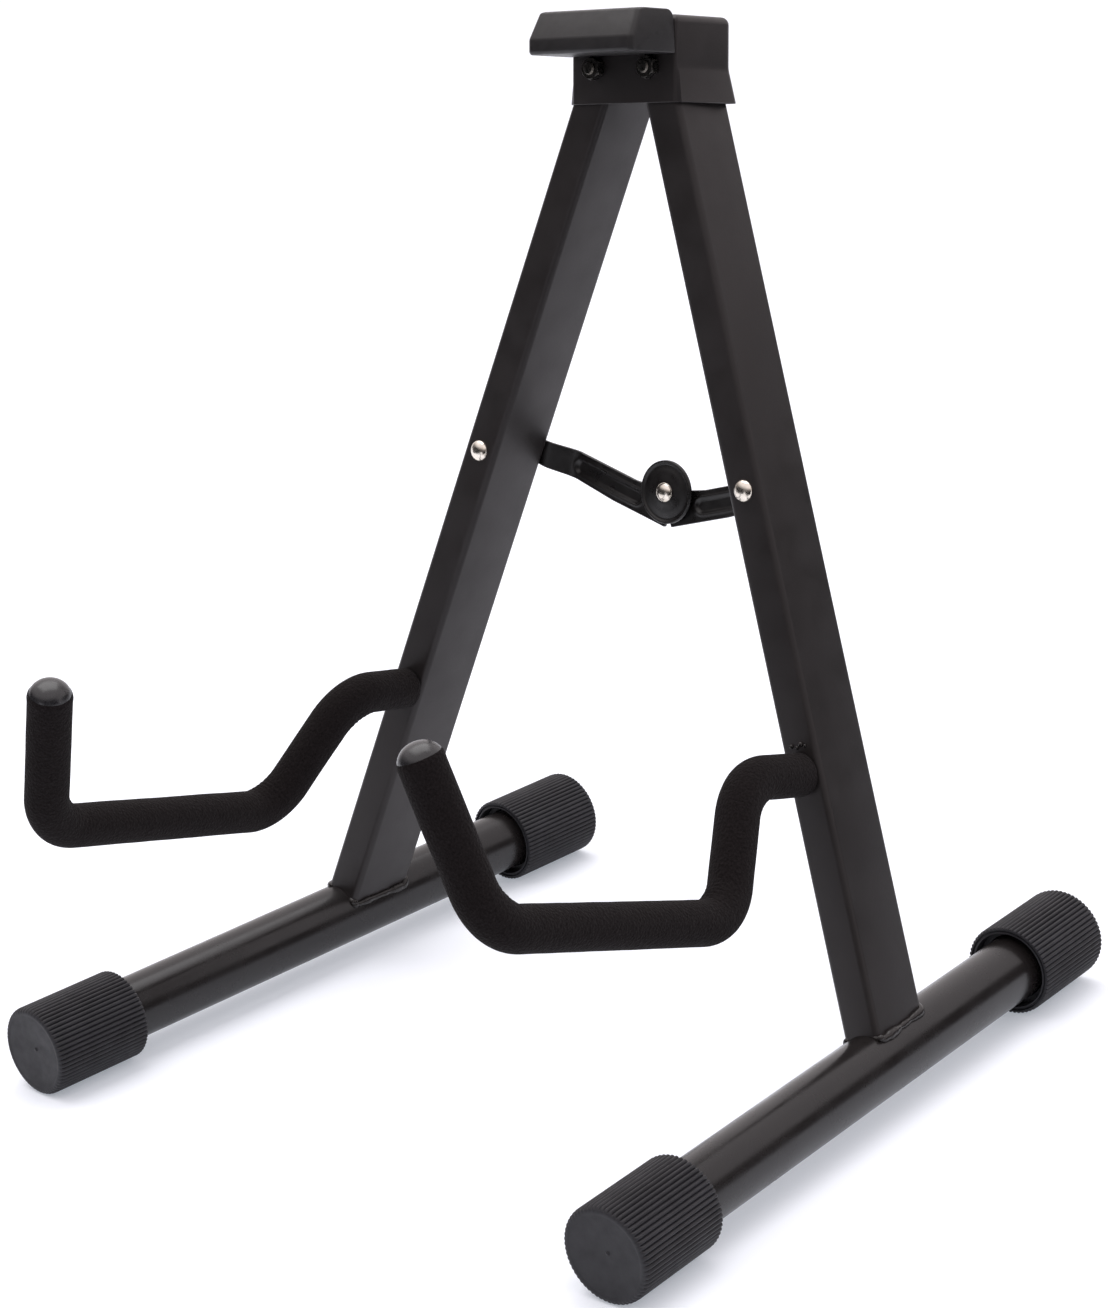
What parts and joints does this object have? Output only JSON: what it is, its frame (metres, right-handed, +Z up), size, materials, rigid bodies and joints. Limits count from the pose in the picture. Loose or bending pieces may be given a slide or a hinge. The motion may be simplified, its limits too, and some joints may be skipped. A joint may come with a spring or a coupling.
{
  "type": "guitar stand",
  "caption": "Folding A-frame floor stand for a guitar: splayed tube legs on floor tubes with rubber end caps, foam-covered cradle hooks, a hinged spreader brace and a padded head.",
  "frame": {"origin": "On the floor, under the middle of the stand's overall width and depth.", "axes": "+Z up, -Y to the front where the guitar rests, +X to the right seen from the front. Z is the longest extent."},
  "size_m": [0.3258, 0.3298, 0.3928],
  "materials": {
    "powder_coat": "satin black powder coat",
    "brace_enamel": "semi-gloss black enamel",
    "black_steel": "black-finished steel fasteners",
    "nickel": "polished nickel plate",
    "foam": "fine-celled black foam rubber sleeve",
    "tip_rubber": "smooth dark grey rubber, semi-gloss",
    "cap_rubber": "charcoal rubber with fine lengthwise ribs",
    "pad_plastic": "matte black moulded rubber pad"
  },
  "bodies": {
    "head": {"head_housing": "powder_coat", "head_pad": "pad_plastic", "left_pivot_bolt": "black_steel", "left_pivot_nut": "black_steel", "right_pivot_bolt": "black_steel", "right_pivot_nut": "black_steel", "left_pad_screw": "black_steel", "right_pad_screw": "black_steel"},
    "left_leg": {"left_leg_tube": "powder_coat", "left_pivot_sleeve": "black_steel", "left_brace_rivet": "nickel", "left_cradle_rod": "powder_coat", "left_cradle_foam": "foam", "left_cradle_tip": "tip_rubber", "left_floor_tube": "powder_coat", "left_front_end_cap": "cap_rubber", "left_rear_end_cap": "cap_rubber"},
    "right_leg": {"right_leg_tube": "powder_coat", "right_pivot_sleeve": "black_steel", "right_brace_rivet": "nickel", "right_cradle_rod": "powder_coat", "right_cradle_foam": "foam", "right_cradle_tip": "tip_rubber", "right_floor_tube": "powder_coat", "right_front_end_cap": "cap_rubber", "right_rear_end_cap": "cap_rubber"},
    "left_arm": {"left_brace_arm": "brace_enamel", "brace_disc": "brace_enamel", "hub_rivet_front": "nickel"},
    "right_arm": {"right_brace_arm": "brace_enamel", "hub_rivet_rear": "nickel"}
  },
  "joints": [
    {"name": "left_leg_fold", "type": "hinge", "parent": "head", "child": "left_leg", "pos_m": [-0.01417, 0.10522, 0.3637], "axis": [0, -0.9813, 0.1925], "range_deg": [0, 18.1]},
    {"name": "right_leg_fold", "type": "hinge", "parent": "head", "child": "right_leg", "pos_m": [0.01237, 0.10555, 0.36538], "axis": [0, 0.9813, -0.1925], "range_deg": [0, 18.1]},
    {"name": "left_arm_fold", "type": "hinge", "parent": "left_leg", "child": "left_arm", "pos_m": [-0.06676, 0.09209, 0.21184], "axis": [0, 0.9813, -0.1925], "range_deg": [0, 85.2]},
    {"name": "right_arm_fold", "type": "hinge", "parent": "right_leg", "child": "right_arm", "pos_m": [0.06607, 0.09209, 0.21184], "axis": [0, -0.9813, 0.1925], "range_deg": [0, 84.3]}
  ],
  "couplings": [
    {"joint": "right_leg_fold", "follows": "left_leg_fold", "ratio": 1},
    {"joint": "left_arm_fold", "follows": "left_leg_fold", "ratio": 4.7022},
    {"joint": "right_arm_fold", "follows": "left_leg_fold", "ratio": 4.6518}
  ]
}
